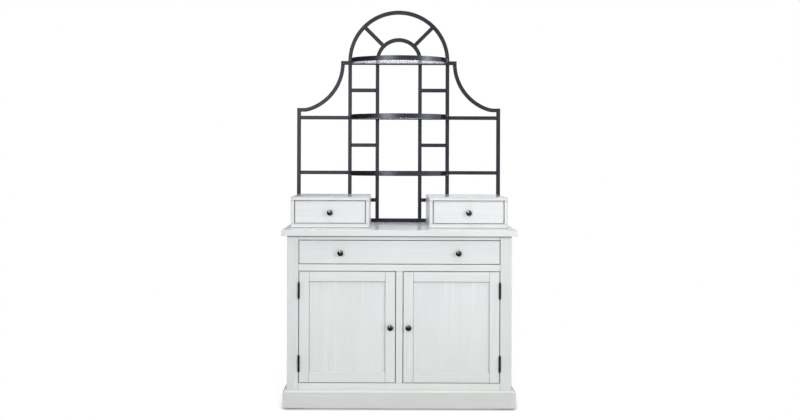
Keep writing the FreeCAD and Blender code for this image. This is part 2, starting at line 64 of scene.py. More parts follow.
# What counts as level with a plane, as one point and as one flat face
LEVEL_WITH = 1e-5
SAME_POINT = 1e-6
SAME_FACE = math.radians(0.5)

# Bends and turned pieces, in steps over their whole sweep
ARCH_STEPS = 96
WING_STEPS = 48
CORNER_STEPS = 20
BOW_STEPS = 40
KNOB_STEPS = 48
HINGE_STEPS = 24
LEAF_SCREW_STEPS = 20
RAIL_SCREW_STEPS = 32

# Hutch
END_BEND_RADIUS = 0.120
WING_START_GAP = 0.0307
WING_LEVEL_LENGTH = 0.0244
BAND_THICK = 0.005
BAND_BOW_RADIUS = 0.500
BAND_CORNER_RADIUS = 0.085
SPOKE_ANGLE = math.radians(45)
SPOKE_LET_IN = 0.001

# Knob, as radius and distance out from the face
KNOB_NECK_RADIUS = 0.0052
KNOB_FOOT = [(0, 0), (0.0085, 0), (0.0085, 0.00168), (0.00765, 0.0028), (0.005824, 0.00504),
             (KNOB_NECK_RADIUS, 0.00784)]
KNOB_RIM_OUT = 0.0172
KNOB_UNDERSIDE = 0.0050
KNOB_ARC_STEPS = 10

# Hinge
KNUCKLE_RADIUS = 0.0045
KNUCKLE_GAP = 0.0003
KNUCKLE_EASE = 0.0005
KNUCKLES = 3
FINIAL_NECK_RADIUS = 0.0022
FINIAL_NECK_HEIGHT = 0.0006
FINIAL_RADIUS = 0.0034
FINIAL_HALF_HEIGHT = 0.00306
FINIAL_MIDDLE = 0.0032
FINIAL_HEIGHT = 0.0063
FINIAL_ARC_START = -50
FINIAL_ARC_END = 90
FINIAL_ARC_STEPS = 6
LEAF_THICK = 0.0012
LEAF_BEHIND_PIN = 0.0036
LEAF_SCREWS = 3
LEAF_SCREW_RADIUS = 0.0030
LEAF_SCREW_SUNK = 0.0004
LEAF_SCREW_EASE = 0.0004
LEAF_SCREW_PROUD = 0.00015

# Screws in the bottom rail: the depth that is made, and the shank and the rim as shares of the head
RAIL_SCREW_DEPTH = 0.004
RAIL_SCREW_SHANK = 0.5
RAIL_SCREW_RIM = 0.35
RAIL_SCREW_ARC_STEPS = 6


# Node helpers


def new_material(name):
    material = bpy.data.materials.new(name)
    material.use_nodes = True
    return material, material.node_tree, material.node_tree.nodes["Principled BSDF"]


def add_node(tree, kind, inputs=None, **settings):
    node = tree.nodes.new(kind)
    for key, value in settings.items():
        setattr(node, key, value)
    for key, value in (inputs or {}).items():
        node.inputs[key].default_value = value
    return node


def object_place(tree, scale=(1, 1, 1)):
    """The piece's own coordinates, stretched."""
    place = add_node(tree, "ShaderNodeTexCoord")
    fit = add_node(tree, "ShaderNodeMapping", {"Scale": scale})
    tree.links.new(place.outputs["Object"], fit.inputs["Vector"])
    return fit.outputs["Vector"]


def noise(tree, vector, scale, detail=3.0, roughness=0.55, distortion=0.0):
    node = add_node(tree, "ShaderNodeTexNoise", {
        "Scale": scale, "Detail": detail, "Roughness": roughness, "Distortion": distortion})
    tree.links.new(vector, node.inputs["Vector"])
    return node.outputs["Fac"]


def spread(tree, value, source, target=(0.0, 1.0)):
    """Stretches the range source of a value to the range target."""
    node = add_node(tree, "ShaderNodeMapRange", {
        "From Min": source[0], "From Max": source[1], "To Min": target[0], "To Max": target[1]})
    tree.links.new(value, node.inputs["Value"])
    return node.outputs["Result"]


def feed(tree, sockets, values):
    """Links each value that is a socket, and sets each that is a plain number or colour."""
    for socket, value in zip(sockets, values):
        if isinstance(value, bpy.types.NodeSocket):
            tree.links.new(value, socket)
        else:
            socket.default_value = value


def blend_colours(tree, factor, first, second):
    """Mixes two colours; each may be a socket or a plain colour."""
    node = add_node(tree, "ShaderNodeMix", data_type="RGBA")
    feed(tree, (node.inputs[0], node.inputs[6], node.inputs[7]), (factor, first, second))
    return node.outputs[2]


def combine(tree, how, first, second):
    node = add_node(tree, "ShaderNodeMath", operation=how)
    feed(tree, node.inputs, (first, second))
    return node.outputs[0]


def blend_shaders(tree, factor, first, second):
    node = add_node(tree, "ShaderNodeMixShader")
    feed(tree, node.inputs, (factor, first, second))
    return node.outputs["Shader"]


def to_eye(tree):
    """1 for what the camera sees, directly or through glass."""
    path = add_node(tree, "ShaderNodeLightPath")
    return combine(tree, "MAXIMUM", path.outputs["Is Camera Ray"], path.outputs["Is Transmission Ray"])


def to_gloss(tree):
    """1 for what is mirrored in a glossy surface."""
    return add_node(tree, "ShaderNodeLightPath").outputs["Is Glossy Ray"]


def bump(tree, height, strength, distance):
    node = add_node(tree, "ShaderNodeBump", {"Strength": strength, "Distance": distance})
    tree.links.new(height, node.inputs["Height"])
    return node.outputs["Normal"]


def occlusion(tree, distance, inside=False, normal=None):
    """0 deep in a groove, or at an outer edge when it looks inside, and 1 on an open face."""
    node = add_node(tree, "ShaderNodeAmbientOcclusion", {"Distance": distance}, samples=OCCLUSION_SAMPLES,
                    inside=inside)
    if normal:
        tree.links.new(normal, node.inputs["Normal"])
    return node.outputs["AO"]


def raised_normal(tree, lift):
    """The face's own normal tipped upwards, and how far the face looks up."""
    shape = add_node(tree, "ShaderNodeNewGeometry")
    raised = add_node(tree, "ShaderNodeVectorMath", operation="ADD")
    raised.inputs[1].default_value = (0, 0, lift)
    tree.links.new(shape.outputs["Normal"], raised.inputs[0])
    unit = add_node(tree, "ShaderNodeVectorMath", operation="NORMALIZE")
    tree.links.new(raised.outputs["Vector"], unit.inputs[0])
    parts = add_node(tree, "ShaderNodeSeparateXYZ")
    tree.links.new(shape.outputs["Normal"], parts.inputs["Vector"])
    return unit.outputs["Vector"], parts.outputs["Z"]


# Finishes

OCCLUSION_SAMPLES = 8

# Paint: its colours, how far its grain and brush marks are stretched along each direction, and how strongly
# each layer shows
WHITE_PAINT = (0.785, 0.800, 0.805)
PALE_PAINT = (0.880, 0.885, 0.880)
STREAK_GREY = (0.560, 0.570, 0.570)
GRAIN = {"x": (1.6, 90, 90), "y": (90, 1.6, 90), "z": (90, 90, 1.6), "xy": (1.6, 1.6, 90)}
BRUSH_MARKS = {"x": (0.8, 14, 14), "y": (14, 0.8, 14), "z": (14, 14, 0.8), "xy": (0.8, 0.8, 14)}
STREAKS = 0.24
BRUSHED_PALE = 0.20
CLOUDED_GREY = 0.12
# Paler paint along outer edges, and how far it reaches: a painted highlight where the eased edges catch the
# light
EDGE_HIGHLIGHT = 0.75
EDGE_HIGHLIGHT_REACH = 0.0030
PAINT_ROUGHNESS = (0.19, 0.29)

# Glaze and painted shade: how strongly grey glaze with painted shade shows in a seam, how strongly a painted
# shadow shows in the corner under the worktop and how far that shadow reaches down, the seams' share on level
# faces, and how far the seams' search is tipped upwards, so that seams under an overhang get more painted
# shade
GLAZE_AND_SHADE = (0.075, 0.072, 0.066, 1)
SEAM_GLAZE_AND_SHADE = 0.95
CORNER_SHADOW_STRENGTH = 0.85
CORNER_SHADOW_REACH = 0.0085
SEAM_SHADE_ON_LEVEL = 0.15
SEAM_SHADE_LIFT = 0.9

# Birch, and the tint of the gloss on the coated steel
BIRCH_PALE = (0.62, 0.47, 0.30, 1)
BIRCH_DARK = (0.46, 0.32, 0.185, 1)
BIRCH_RING = (0.66, 0.52, 0.35, 1)
COAT_SHEEN = (0.84, 0.90, 1.00, 1)


def toned(colour, painted_light_tone, warmth):
    """A paler or darker, and a warmer or cooler, mix of a paint; the paler and darker copies are painted light
    and shade.
    """
    return (colour[0] * painted_light_tone, colour[1] * painted_light_tone, colour[2] * painted_light_tone * (1 - warmth), 1)


def seam_glaze_and_shade(tree, gap, spill, raised, upwards):
    """How strongly the grey glaze and painted shade show in a seam: more where something above closes the seam
    in, less on level faces.
    """
    seam = spread(tree, occlusion(tree, gap, normal=raised), (0.42, spill), (SEAM_GLAZE_AND_SHADE, 0.0))
    return combine(tree, "MULTIPLY", seam, spread(tree, upwards, (0.2, 0.8), (1.0, SEAM_SHADE_ON_LEVEL)))


def painted_shadow_under_top(tree):
    """How strongly the painted shadow shows on the faces just under the worktop."""
    height = add_node(tree, "ShaderNodeSeparateXYZ")
    tree.links.new(object_place(tree), height.inputs["Vector"])
    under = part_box("base_top")[0].z
    near = spread(tree, height.outputs["Z"], (under - CORNER_SHADOW_REACH, under - CORNER_SHADOW_REACH / 2),
                  (0.0, CORNER_SHADOW_STRENGTH))
    below = combine(tree, "LESS_THAN", height.outputs["Z"], under)
    return combine(tree, "MULTIPLY", near, below)


def painted_wood(name, along, painted_light_tone=1.0, warmth=0.0, polish=0.8, gap=0.0060, spill=0.84):
    """White paint brushed along the grain, over open grain, with a grey glaze and painted shade in the seams,
    a painted shadow under the worktop and a painted highlight of paler paint along outer edges. A tone above 1
    makes a paler copy of the paint as painted light, one below 1 a darker copy as painted shade. Level faces
    are smoother by the factor polish. The glaze and shade reach a gap's width out of a seam, and further as
    spill nears 1."""
    material, tree, shader = new_material(name)
    paint, pale, streak = (toned(colour, painted_light_tone, warmth) for colour in (WHITE_PAINT, PALE_PAINT, STREAK_GREY))
    grain = noise(tree, object_place(tree, GRAIN[along]), scale=2.4, detail=5.0, roughness=0.62)
    brushed = noise(tree, object_place(tree, BRUSH_MARKS[along]), scale=2.0, roughness=0.5, distortion=0.4)
    clouds = noise(tree, object_place(tree), scale=3.2, detail=2.0)
    # outer edges, for the painted highlight
    worn_and_highlight = occlusion(tree, EDGE_HIGHLIGHT_REACH, inside=True)
    raised, upwards = raised_normal(tree, SEAM_SHADE_LIFT)
    layers = [
        (combine(tree, "MULTIPLY", spread(tree, grain, (0.46, 0.72)), STREAKS), streak),
        (spread(tree, brushed, (0.36, 0.64), (0.0, BRUSHED_PALE)), pale),
        (spread(tree, clouds, (0.35, 0.65), (0.0, CLOUDED_GREY)), streak),
        # paler paint along outer edges: a painted highlight
        (spread(tree, worn_and_highlight, (0.35, 0.80), (EDGE_HIGHLIGHT, 0.0)), pale),
        # grey glaze and painted shade in the seams
        (seam_glaze_and_shade(tree, gap, spill, raised, upwards), GLAZE_AND_SHADE),
        # painted shadow under the worktop
        (painted_shadow_under_top(tree), GLAZE_AND_SHADE),
    ]
    colour = paint
    for share, layer in layers:
        colour = blend_colours(tree, share, colour, layer)
    tree.links.new(colour, shader.inputs["Base Color"])
    rough = combine(tree, "MULTIPLY", spread(tree, brushed, (0.3, 0.7), PAINT_ROUGHNESS),
                    spread(tree, upwards, (0.5, 0.9), (1.0, polish)))
    tree.links.new(rough, shader.inputs["Roughness"])
    tree.links.new(bump(tree, grain, strength=0.04, distance=0.0004), shader.inputs["Normal"])
    return material


def plain_wood():
    """Clear-lacquered birch inside the drawers, its grain running from front to back."""
    material, tree, shader = new_material("lacquered_birch")
    grain = noise(tree, object_place(tree, (60, 3, 60)), scale=2.0, detail=5.0, roughness=0.6, distortion=0.6)
    rings = noise(tree, object_place(tree, (10, 1, 10)), scale=1.6, detail=2.0, roughness=0.5, distortion=1.0)
    colour = blend_colours(tree, spread(tree, grain, (0.35, 0.70)), BIRCH_PALE, BIRCH_DARK)
    colour = blend_colours(tree, spread(tree, rings, (0.40, 0.60), (0.0, 0.5)), colour, BIRCH_RING)
    tree.links.new(colour, shader.inputs["Base Color"])
    tree.links.new(spread(tree, grain, (0.3, 0.7), (0.40, 0.55)), shader.inputs["Roughness"])
    tree.links.new(bump(tree, grain, strength=0.20, distance=0.0005), shader.inputs["Normal"])
    return material


def powder_coat(name, dark, light, roughness, specular):
    """Baked coating on steel: a fine orange-peel skin over faint clouds."""
    material, tree, shader = new_material(name)
    clouds = noise(tree, object_place(tree), scale=9.0)
    skin = noise(tree, object_place(tree), scale=900.0, detail=2.0)
    colour = blend_colours(tree, spread(tree, clouds, (0.35, 0.65)), dark, light)
    tree.links.new(colour, shader.inputs["Base Color"])
    tree.links.new(spread(tree, clouds, (0.3, 0.7), roughness), shader.inputs["Roughness"])
    tree.links.new(bump(tree, skin, strength=0.10, distance=0.0002), shader.inputs["Normal"])
    shader.inputs["Specular IOR Level"].default_value = specular
    shader.inputs["Specular Tint"].default_value = COAT_SHEEN
    return material


def dark_bronze(name, dark, worn_and_highlight, rubbed, roughness, lacquer=0.0):
    """Oil-rubbed bronze: nearly black, warmer where it is handled, with or without a clear lacquer."""
    material, tree, shader = new_material(name)
    wear = noise(tree, object_place(tree), scale=120.0)
    edge = spread(tree, occlusion(tree, 0.0016, inside=True), (0.30, 0.80), (0.6, 0.0))
    colour = blend_colours(tree, spread(tree, wear, (0.45, 0.75), (0.0, 0.6)), dark, worn_and_highlight)
    colour = blend_colours(tree, edge, colour, rubbed)
    tree.links.new(colour, shader.inputs["Base Color"])
    tree.links.new(spread(tree, wear, (0.3, 0.7), roughness), shader.inputs["Roughness"])
    tree.links.new(bump(tree, wear, strength=0.04, distance=0.0001), shader.inputs["Normal"])
    shader.inputs["Metallic"].default_value = 0.9
    shader.inputs["Coat Weight"].default_value = lacquer
    shader.inputs["Coat Roughness"].default_value = 0.05
    shader.inputs["Coat IOR"].default_value = 1.5
    return material


def zinc_steel(name):
    """Rolled steel with a zinc skin, brushed from front to back."""
    material, tree, shader = new_material(name)
    brushed = noise(tree, object_place(tree, (400, 8, 400)), scale=2.0)
    colour = blend_colours(tree, brushed, (0.42, 0.43, 0.44, 1), (0.58, 0.59, 0.61, 1))
    tree.links.new(colour, shader.inputs["Base Color"])
    tree.links.new(spread(tree, brushed, (0.3, 0.7), (0.28, 0.44)), shader.inputs["Roughness"])
    tree.links.new(bump(tree, brushed, strength=0.08, distance=0.0002), shader.inputs["Normal"])
    shader.inputs["Metallic"].default_value = 1.0
    return material


def moulded_plastic(name, colour, lighter):
    """Plastic with a fine mould grain."""
    material, tree, shader = new_material(name)
    grain = noise(tree, object_place(tree), scale=700.0, detail=2.0)
    tree.links.new(blend_colours(tree, grain, colour, lighter), shader.inputs["Base Color"])
    tree.links.new(spread(tree, grain, (0.3, 0.7), (0.42, 0.58)), shader.inputs["Roughness"])
    tree.links.new(bump(tree, grain, strength=0.10, distance=0.0002), shader.inputs["Normal"])
    return material


# Glass: the share of dust in it, the matt share of its film, and how that film thickens as the sheet is seen
# more along its face
GLASS_DUST = 0.08
FILM_MATT = 0.80
FILM_SLANTS = (0.66, 0.82)
FILM_THICKEST = 0.66


def shelf_glass():
    """Tempered glass with a faint grey-lilac tint, under a breath of dust that shows as a film along the
    sheet. It lets the lamps' light through."""
    material, tree, shader = new_material("tempered_glass")
    haze = noise(tree, object_place(tree), scale=14.0)
    tint = blend_colours(tree, spread(tree, haze, (0.35, 0.65)), (0.85, 0.85, 0.92, 1),
                         (0.88, 0.88, 0.945, 1))
    tree.links.new(tint, shader.inputs["Base Color"])
    shader.inputs["Roughness"].default_value = 0.0
    shader.inputs["Transmission Weight"].default_value = 1.0
    shader.inputs["IOR"].default_value = 1.5
    dust = add_node(tree, "ShaderNodeBsdfTranslucent", {"Color": (0.88, 0.88, 0.95, 1)})
    glass = blend_shaders(tree, GLASS_DUST, shader.outputs["BSDF"], dust.outputs["BSDF"])
    shine = add_node(tree, "ShaderNodeBsdfAnisotropic", {"Color": (0.90, 0.90, 0.94, 1), "Roughness": 0.02})
    matt = add_node(tree, "ShaderNodeBsdfDiffuse", {"Color": (0.93, 0.94, 1.0, 1)})
    film = blend_shaders(tree, FILM_MATT, shine.outputs["BSDF"], matt.outputs["BSDF"])
    slant = add_node(tree, "ShaderNodeLayerWeight", {"Blend": 0.5})
    along = spread(tree, slant.outputs["Facing"], FILM_SLANTS, (0.0, FILM_THICKEST))
    seen = blend_shaders(tree, along, glass, film)
    clear = add_node(tree, "ShaderNodeBsdfTransparent", {"Color": (0.80, 0.80, 0.84, 1)})
    path = add_node(tree, "ShaderNodeLightPath")
    whole = blend_shaders(tree, path.outputs["Is Shadow Ray"], seen, clear.outputs["BSDF"])
    tree.links.new(whole, tree.nodes["Material Output"].inputs["Surface"])
    return material


# How far the glaze and painted shade reach out of the seams of the cases and of the doors
CASE_SEAMS = {"gap": 0.0120, "spill": 0.93}
DOOR_SEAMS = {"gap": 0.0075, "spill": 0.88}
# The tones below are painted light and shade: paler copies of the white paint for the rails, cases and small
# fronts, darker ones for the worktop, posts and plinth. The plinth and rails are also made warmer.
PAINT_ALONG_X = painted_wood("white_paint_along_x", "x")
PAINT_ALONG_Y = painted_wood("white_paint_along_y", "y")
PAINT_UPRIGHT = painted_wood("white_paint_upright", "z", gap=0.0052)
PAINT_WORKTOP = painted_wood("white_paint_worktop", "x", painted_light_tone=0.99)
PAINT_POSTS = painted_wood("white_paint_posts", "z", painted_light_tone=0.96)
PAINT_PLINTH = painted_wood("white_paint_plinth", "xy", painted_light_tone=0.895, warmth=0.030)
PAINT_RAILS = painted_wood("white_paint_rails", "x", painted_light_tone=1.03, warmth=0.020)
PAINT_CASES = painted_wood("white_paint_cases", "x", painted_light_tone=1.055, polish=0.35, **CASE_SEAMS)
PAINT_SMALL_FRONTS = painted_wood("white_paint_small_fronts", "x", painted_light_tone=1.025, **CASE_SEAMS)
PAINT_DOOR_RAILS = painted_wood("white_paint_door_rails", "x", **DOOR_SEAMS)
PAINT_DOOR_STILES = painted_wood("white_paint_door_stiles", "z", **DOOR_SEAMS)
PAINT_WIDE_FRONT = painted_wood("white_paint_wide_front", "x")
BIRCH = plain_wood()
TUBE_COAT = powder_coat("charcoal_powder_coat", (0.019, 0.021, 0.026, 1), (0.027, 0.029, 0.035, 1),
                        roughness=(0.34, 0.42), specular=0.22)
BAND_COAT = powder_coat("black_band_coat", (0.006, 0.006, 0.008, 1), (0.010, 0.010, 0.013, 1),
                        roughness=(0.22, 0.30), specular=0.60)
KNOB_BRONZE = dark_bronze("knob_bronze", (0.012, 0.012, 0.012, 1), (0.018, 0.017, 0.016, 1),
                          (0.028, 0.026, 0.022, 1), roughness=(0.16, 0.24), lacquer=1.0)
HINGE_BRONZE = dark_bronze("hinge_bronze", (0.022, 0.021, 0.020, 1), (0.040, 0.035, 0.030, 1),
                           (0.080, 0.068, 0.055, 1), roughness=(0.30, 0.38))
RUNNER_STEEL = zinc_steel("runner_zinc")
SCREW_STEEL = zinc_steel("screw_zinc")
GLASS = shelf_glass()
CATCH_PLASTIC = moulded_plastic("catch_plastic", (0.55, 0.55, 0.54, 1), (0.62, 0.62, 0.61, 1))
GLIDE_NYLON = moulded_plastic("glide_nylon", (0.020, 0.020, 0.021, 1), (0.032, 0.032, 0.033, 1))

# CAD pieces that keep their own shape
NODE_FINISHES = {
    PAINT_ALONG_X: ["cupboard_floor", "cupboard_shelf"],
    PAINT_ALONG_Y: ["shelf_cleats"],
    PAINT_UPRIGHT: ["side_panels", "back_panel", "door_left_panel", "door_right_panel"],
    BIRCH: ["wide_drawer_tray", "small_drawer_left_tray", "small_drawer_right_tray"],
    RUNNER_STEEL: ["drawer_runners_fixed", "wide_drawer_runners", "door_left_strike_plate",
                   "door_right_strike_plate"],
    CATCH_PLASTIC: ["magnetic_catch"],
    GLIDE_NYLON: ["floor_glides"],
}

# CAD boards that get eased edges: node, body, finish and, where it differs, the easing
EASED_BOARDS = [
    ("face_rails", "rack", PAINT_RAILS),
    ("back_rails", "rack", PAINT_ALONG_X),
    ("side_rails", "rack", PAINT_ALONG_Y),
    ("front_posts", "rack", PAINT_POSTS),
    ("back_posts", "rack", PAINT_POSTS),
    ("centre_stile", "rack", PAINT_UPRIGHT),
    ("plinth_boards", "rack", PAINT_PLINTH),
    ("small_case_left", "rack", PAINT_CASES, CASE_EASING),
    ("small_case_right", "rack", PAINT_CASES, CASE_EASING),
    ("wide_drawer_front", "wide_drawer", PAINT_WIDE_FRONT),
    ("small_drawer_left_front", "small_drawer_left", PAINT_SMALL_FRONTS, CASE_EASING),
    ("small_drawer_right_front", "small_drawer_right", PAINT_SMALL_FRONTS, CASE_EASING),
    ("door_left_rails", "door_left", PAINT_DOOR_RAILS, DOOR_EASING),
    ("door_left_stiles", "door_left", PAINT_DOOR_STILES, DOOR_EASING),
    ("door_right_rails", "door_right", PAINT_DOOR_RAILS, DOOR_EASING),
    ("door_right_stiles", "door_right", PAINT_DOOR_STILES, DOOR_EASING),
]


def finish_nodes():
    for material, names in NODE_FINISHES.items():
        for name in names:
            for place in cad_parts[name].material_slots:
                place.material = material


# Mesh helpers


def keep_flats_flat(mesh):
    """Shades by area-weighted normals, so that a flat face stays flat and its rounded edges do the turning."""
    around = [[] for _ in mesh.vertices]
    for face in mesh.polygons:
        for index in face.vertices:
            around[index].append(face)
    lowest = math.cos(SHARP_ANGLE)
    normals = []
    for face in mesh.polygons:
        for index in face.vertices:
            total = Vector((0, 0, 0))
            for other in around[index]:
                if face.normal.dot(other.normal) > lowest:
                    total += other.normal * other.area
            normals.append(total.normalized())
    mesh.normals_split_custom_set(normals)


def make_piece(name, bm, body, material, nodes):
    """Turns a mesh in the making into a piece that rides on a body and stands for CAD nodes."""
    bmesh.ops.recalc_face_normals(bm, faces=bm.faces)
    mesh = bpy.data.meshes.new(name)
    bm.to_mesh(mesh)
    bm.free()
    mesh.materials.append(material)
    for face in mesh.polygons:
        face.use_smooth = True
    mesh.set_sharp_from_angle(angle=SHARP_ANGLE)
    keep_flats_flat(mesh)
    piece = bpy.data.objects.new(name, mesh)
    bpy.context.scene.collection.objects.link(piece)
    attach(piece, body)
    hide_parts(*nodes)


def faces_by_solid(node):
    """A CAD node's triangles solid by solid: a solid is whole when none of its edges is left open."""
    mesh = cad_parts[node].data
    spots = [tuple(round(value, 6) for value in vert.co) for vert in mesh.vertices]
    solids = []
    faces = []
    open_edges = set()
    for polygon in mesh.polygons:
        corners = [spots[index] for index in polygon.vertices]
        if len(set(corners)) == len(corners):
            faces.append(corners)
            for pair in zip(corners, corners[1:] + corners[:1]):
                open_edges ^= {frozenset(pair)}
        if faces and not open_edges:
            solids.append(faces)
            faces = []
    return solids


def solids_of(node):
    """Lowest and highest corner of each separate solid in a CAD node, from left to right."""
    found = []
    for faces in faces_by_solid(node):
        spots = [spot for face in faces for spot in face]
        found.append((Vector(min(spot[axis] for spot in spots) for axis in range(3)),
                      Vector(max(spot[axis] for spot in spots) for axis in range(3))))
    return sorted(found, key=lambda corners: tuple(corners[0]))


def solid_copy(faces):
    """A merged copy of one solid, with its flat faces whole again."""
    bm = bmesh.new()
    verts = {spot: bm.verts.new(spot) for face in faces for spot in face}
    for face in faces:
        bm.faces.new([verts[spot] for spot in face])
    bmesh.ops.dissolve_limit(bm, angle_limit=SAME_FACE, verts=bm.verts, edges=bm.edges)
    return bm


def join_solids(parts):
    """Gathers finished solids into one bmesh without welding them to each other."""
    whole = bmesh.new()
    for part in parts:
        mesh = bpy.data.meshes.new("part")
        part.to_mesh(mesh)
        part.free()
        whole.from_mesh(mesh)
        bpy.data.meshes.remove(mesh)
    return whole


def round_off(bm, parts, rounding, steps, affect="EDGES"):
    """Rounds edges, or the corners of a flat outline."""
    bmesh.ops.bevel(bm, geom=parts, offset=rounding, offset_type="OFFSET", affect=affect, segments=steps,
                    profile=0.5, material=-1)


def add_box(bm, low, high):
    made = bmesh.ops.create_cube(bm, size=1)["verts"]
    bmesh.ops.scale(bm, vec=high - low, verts=made)
    bmesh.ops.translate(bm, vec=(low + high) / 2, verts=made)
    return made


def add_block(bm, low, high, rounding, ends_too=True, steps=ROUNDING_STEPS):
    """A box with rounded edges; a bar whose ends butt against others keeps its end edges sharp."""
    edges = list({edge for vert in add_box(bm, low, high) for edge in vert.link_edges})
    if not ends_too:
        size = high - low
        longest = max(range(3), key=lambda axis: size[axis])
        edges = [edge for edge in edges
                 if abs((edge.verts[0].co - edge.verts[1].co)[longest]) > size[longest] / 2]
    round_off(bm, edges, rounding, steps)


def rounded_ring(bm, low, high, flat_axis, rounding):
    """The outline of a bar's first end: a rectangle with rounded corners, flat along one axis."""
    across, along = [axis for axis in range(3) if axis != flat_axis]
    verts = []
    for first, second in ((0, 0), (1, 0), (1, 1), (0, 1)):
        corner = low.copy()
        corner[across] = (low, high)[first][across]
        corner[along] = (low, high)[second][along]
        verts.append(bm.verts.new(corner))
    bm.faces.new(verts)
    round_off(bm, verts, rounding, ROUNDING_STEPS, affect="VERTICES")
    bmesh.ops.delete(bm, geom=list(bm.faces), context="FACES_ONLY")
    return list(bm.edges)


def ring_verts(edges):
    return list({vert for edge in edges for vert in edge.verts})


def bend_ring(bm, edges, centre, axis, angle, steps):
    """Carries the end of a bar round a bend and gives its new end."""
    turned = bmesh.ops.spin(bm, geom=ring_verts(edges) + list(edges), cent=centre, axis=axis, dvec=(0, 0, 0),
                            angle=angle, steps=steps, space=Matrix.Identity(4), use_merge=False,
                            use_duplicate=False)
    return [part for part in turned["geom_last"] if isinstance(part, bmesh.types.BMEdge)]


def run_ring(bm, edges, by):
    """Carries the end of a bar straight on and gives its new end."""
    made = bmesh.ops.extrude_edge_only(bm, edges=edges)["geom"]
    verts = [part for part in made if isinstance(part, bmesh.types.BMVert)]
    bmesh.ops.translate(bm, vec=by, verts=verts)
    ends = set(verts)
    return [part for part in made if isinstance(part, bmesh.types.BMEdge) and set(part.verts) <= ends]


def cap_ends(bm):
    bmesh.ops.holes_fill(bm, edges=[edge for edge in bm.edges if edge.is_boundary], sides=0)


def turn_profile(bm, profile, origin, out, steps):
    """Turns (radius, distance) points about the line from origin along out, a unit axis."""
    side = Vector((0, 0, 1)) if abs(out.z) < 0.5 else Vector((1, 0, 0))
    verts = [bm.verts.new(origin + side * radius + out * distance) for radius, distance in profile]
    edges = [bm.edges.new(pair) for pair in zip(verts, verts[1:])]
    bmesh.ops.spin(bm, geom=verts + edges, cent=origin, axis=out, dvec=(0, 0, 0), angle=2 * math.pi,
                   steps=steps, space=Matrix.Identity(4), use_merge=True, use_duplicate=False)
    bmesh.ops.remove_doubles(bm, verts=bm.verts, dist=SAME_POINT)


def both_hands(bm):
    """Adds the mirror twin across X = 0."""
    twin = bmesh.ops.duplicate(bm, geom=bm.verts[:] + bm.edges[:] + bm.faces[:])["geom"]
    verts = [part for part in twin if isinstance(part, bmesh.types.BMVert)]
    bmesh.ops.scale(bm, vec=(-1, 1, 1), verts=verts)


# Cabinet


def on_body(edge):
    """Whether an edge lies against the cabinet's posts, inside the box that they stand in."""
    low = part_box("front_posts")[0]
    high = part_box("back_posts")[1]
    return all(low[axis] - LEVEL_WITH < vert.co[axis] < high[axis] + LEVEL_WITH
               for vert in edge.verts for axis in range(3))


def level_edges(bm, level):
    """The edges that lie in the level plane at a height."""
    return [edge for edge in bm.edges if all(abs(vert.co.z - level) < LEVEL_WITH for vert in edge.verts)]


def make_eased_boards(node, body, material, easing=BOARD_EASING):
    """Boards with their sharp corners broken, as sanding leaves them, so that joints show as fine grooves.
    The plinth's inner edges stay sharp, tight against the posts and rail."""
    boards = []
    for faces in faces_by_solid(node):
        board = solid_copy(faces)
        corners = [edge for edge in board.edges if edge.is_manifold and edge.is_convex
                   and edge.calc_face_angle() > EASED_ANGLE and edge.calc_length() > EASED_LENGTH
                   and not (node == "plinth_boards" and on_body(edge))]
        round_off(board, corners, easing, EASING_STEPS)
        boards.append(board)
    make_piece("eased_" + node, join_solids(boards), body, material, [node])


def make_worktop():
    """The slab, with its upper edges well rounded and its lower ones only eased."""
    low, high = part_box("base_top")
    bm = bmesh.new()
    add_box(bm, low, high)
    round_off(bm, level_edges(bm, high.z), SLAB_ROUNDING, ROUNDING_STEPS)
    round_off(bm, level_edges(bm, low.z), SLAB_UNDER_ROUNDING, ROUNDING_STEPS)
    make_piece("worktop", bm, "rack", PAINT_WORKTOP, ["base_top"])


def knob_profile(radius, projection):
    """Foot, waist, rounded underside and domed face."""
    points = list(KNOB_FOOT)
    widest = math.acos(KNOB_NECK_RADIUS / radius)
    for index in range(KNOB_ARC_STEPS + 1):
        angle = widest * (1 - index / KNOB_ARC_STEPS)
        points.append((radius * math.cos(angle), KNOB_RIM_OUT - KNOB_UNDERSIDE * math.sin(angle)))
    for index in range(1, KNOB_ARC_STEPS):
        angle = math.pi / 2 * index / KNOB_ARC_STEPS
        points.append((radius * math.cos(angle), KNOB_RIM_OUT + (projection - KNOB_RIM_OUT) * math.sin(angle)))
    return points + [(0, projection)]


def make_knobs():
    bodies = {
        "door_left_knob": "door_left",
        "door_right_knob": "door_right",
        "wide_drawer_knobs": "wide_drawer",
        "small_drawer_left_knob": "small_drawer_left",
        "small_drawer_right_knob": "small_drawer_right",
    }
    for node, body in bodies.items():
        bm = bmesh.new()
        for low, high in solids_of(node):
            middle = (low + high) / 2
            profile = knob_profile((high.x - low.x) / 2, high.y - low.y)
            turn_profile(bm, profile, Vector((middle.x, high.y, middle.z)), Vector((0, -1, 0)), KNOB_STEPS)
        make_piece("turned_" + node, bm, body, KNOB_BRONZE, [node])


# Hinges


def add_knuckle(bm, x, y, low, high):
    """One rolled knuckle, with eased ends."""
    flat = KNUCKLE_RADIUS - KNUCKLE_EASE
    profile = [(0, 0), (flat, 0), (KNUCKLE_RADIUS, KNUCKLE_EASE), (KNUCKLE_RADIUS, high - low - KNUCKLE_EASE),
               (flat, high - low), (0, high - low)]
    turn_profile(bm, profile, Vector((x, y, low)), Vector((0, 0, 1)), HINGE_STEPS)


